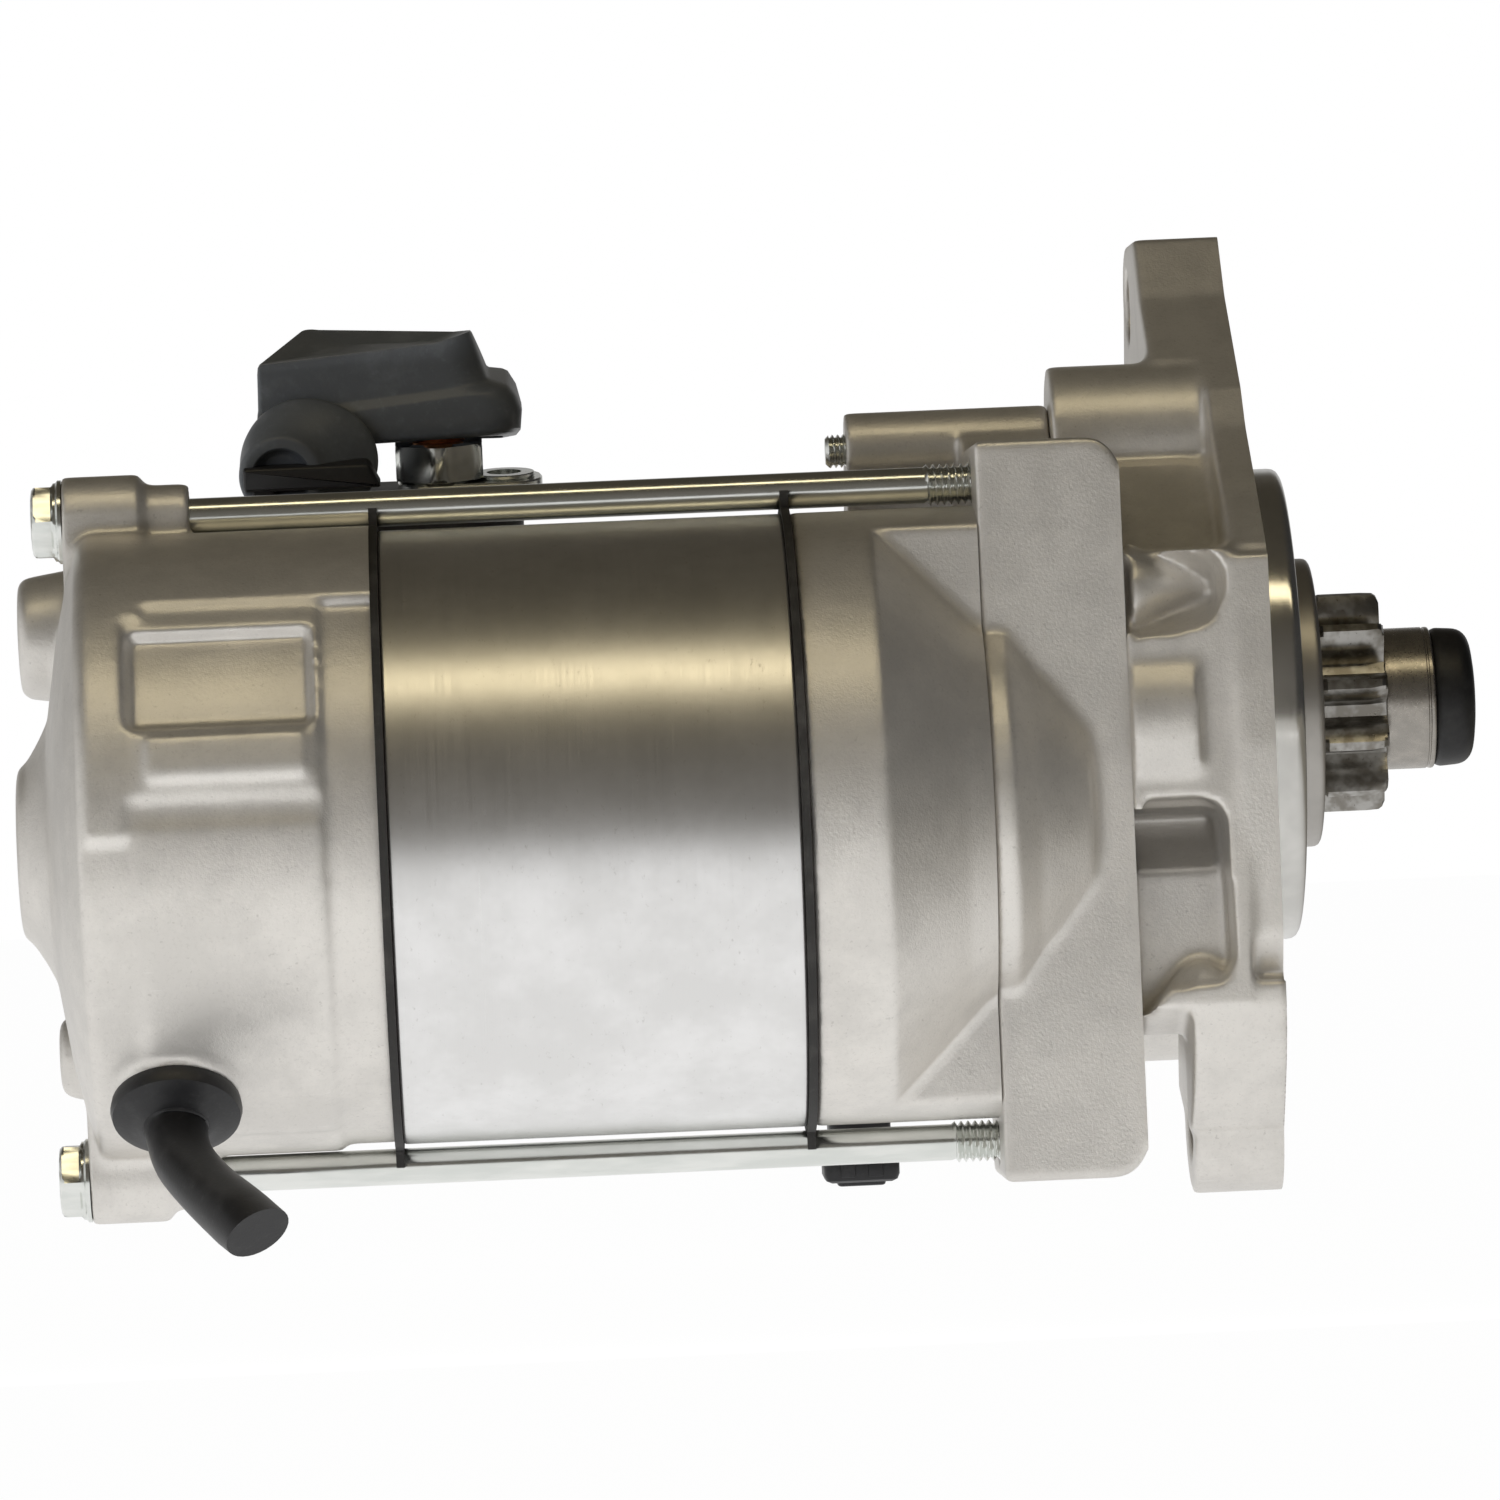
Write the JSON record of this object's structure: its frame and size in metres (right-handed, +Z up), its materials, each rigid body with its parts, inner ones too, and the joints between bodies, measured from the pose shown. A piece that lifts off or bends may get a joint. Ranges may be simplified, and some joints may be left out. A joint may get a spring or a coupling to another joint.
{
  "type": "starter motor",
  "caption": "Offset gear-reduction starter motor with coaxial magnetic switch, ear-mounted flange and sliding drive pinion.",
  "frame": {"origin": "centre of the pilot, on the mounting face", "axes": "+X along the pinion axis towards the engine, +Z up, the motor lies towards -Y"},
  "size_m": [0.2162, 0.1786, 0.1435],
  "materials": {
    "cast_aluminium": "as-cast die-cast aluminium, fine grain, machined faces bright",
    "yoke_steel": "turned and polished steel tube",
    "bright_zinc": "bright zinc-plated steel",
    "gear_steel": "hardened steel with wear marks",
    "bright_steel": "ground steel",
    "laminations": "stacked soft-iron laminations",
    "copper": "copper bar and enamelled wire",
    "bronze": "sintered bronze",
    "carbon": "pressed copper-graphite",
    "black_rubber": "moulded black rubber",
    "grey_rubber": "moulded blue-grey rubber",
    "black_plastic": "moulded black plastic"
  },
  "bodies": {
    "housing": {"commutator_end_frame": "cast_aluminium", "yoke_gaskets": "black_rubber", "yoke": "yoke_steel", "pole_shoes": "laminations", "field_coils": "copper", "front_frame": "cast_aluminium", "ball_bearings": "bright_steel", "brush_holder": "bright_zinc", "brush_springs": "bright_steel", "through_bolts": "bright_zinc", "drain_tube": "black_rubber", "drain_plug": "black_rubber", "switch_housing": "cast_aluminium", "drive_housing": "cast_aluminium", "idler_pin": "bright_steel", "nose_seal": "black_rubber", "switch_coil": "copper", "coil_bobbin": "black_plastic", "fixed_core": "bright_steel", "plunger_guide": "bronze", "coil_end_plate": "bright_steel", "plunger_spring": "bright_steel", "terminal_base": "black_plastic", "battery_stud": "copper", "motor_stud": "copper", "terminal_nuts": "bright_zinc", "motor_lead": "black_plastic", "switch_terminal": "black_plastic", "switch_boot": "black_rubber", "battery_boot": "grey_rubber", "switch_cover": "bright_zinc", "cover_screws": "bright_zinc", "housing_screws": "bright_zinc", "dowel_pin": "bright_steel"},
    "armature": {"armature_shaft": "bright_steel", "armature_core": "laminations", "armature_winding": "copper", "commutator": "copper", "armature_bearing_races": "bright_steel"},
    "idler": {"idler_gear": "gear_steel", "idler_rollers": "gear_steel"},
    "clutch": {"clutch_gear": "gear_steel", "clutch_rollers": "bright_steel", "clutch_cover": "bright_zinc"},
    "sleeve": {"drive_sleeve": "bright_steel", "sleeve_bush": "bronze", "sleeve_bearing_races": "bright_steel"},
    "pinion": {"pinion_shaft": "bright_steel", "pinion": "gear_steel", "pinion_collar": "bright_steel", "shaft_end_cap": "black_rubber", "return_spring": "bright_steel", "steel_ball": "bright_steel"},
    "plunger": {"plunger": "bright_steel", "contact_plate": "copper"},
    "brush_1": {"brush_1": "carbon"},
    "brush_2": {"brush_2": "carbon"},
    "brush_3": {"brush_3": "carbon"},
    "brush_4": {"brush_4": "carbon"}
  },
  "joints": [
    {"name": "armature_spin", "type": "hinge", "parent": "housing", "child": "armature", "pos_m": [0, -0.07, -0.0138], "axis": [1, 0, 0], "continuous": true},
    {"name": "idler_spin", "type": "hinge", "parent": "housing", "child": "idler", "pos_m": [0, -0.04643, -0.00202], "axis": [1, 0, 0], "continuous": true},
    {"name": "clutch_spin", "type": "hinge", "parent": "housing", "child": "clutch", "pos_m": [0, 0, 0], "axis": [1, 0, 0], "continuous": true},
    {"name": "overrun", "type": "hinge", "parent": "clutch", "child": "sleeve", "pos_m": [0, 0, 0], "axis": [1, 0, 0], "continuous": true},
    {"name": "pinion_slide", "type": "slide", "parent": "sleeve", "child": "pinion", "axis": [1, 0, 0], "range_m": [0, 0.01], "deforming": ["return_spring"]},
    {"name": "plunger_slide", "type": "slide", "parent": "housing", "child": "plunger", "axis": [1, 0, 0], "range_m": [0, 0.01], "stiffness_N_per_m": 1800, "deforming": ["plunger_spring"]},
    {"name": "brush_1_slide", "type": "slide", "parent": "housing", "child": "brush_1", "axis": [0, 1, 0], "range_m": [0, 0.003], "stiffness_N_per_m": 2500, "deforming": ["brush_springs"]},
    {"name": "brush_2_slide", "type": "slide", "parent": "housing", "child": "brush_2", "axis": [0, 0, 1], "range_m": [0, 0.003], "stiffness_N_per_m": 2500, "deforming": ["brush_springs"]},
    {"name": "brush_3_slide", "type": "slide", "parent": "housing", "child": "brush_3", "axis": [0, -1, 0], "range_m": [0, 0.003], "stiffness_N_per_m": 2500, "deforming": ["brush_springs"]},
    {"name": "brush_4_slide", "type": "slide", "parent": "housing", "child": "brush_4", "axis": [0, 0, -1], "range_m": [0, 0.003], "stiffness_N_per_m": 2500, "deforming": ["brush_springs"]}
  ],
  "couplings": [
    {"joint": "idler_spin", "follows": "armature_spin", "ratio": -0.57895},
    {"joint": "clutch_spin", "follows": "armature_spin", "ratio": 0.32353},
    {"joint": "pinion_slide", "follows": "plunger_slide", "ratio": 1}
  ]
}
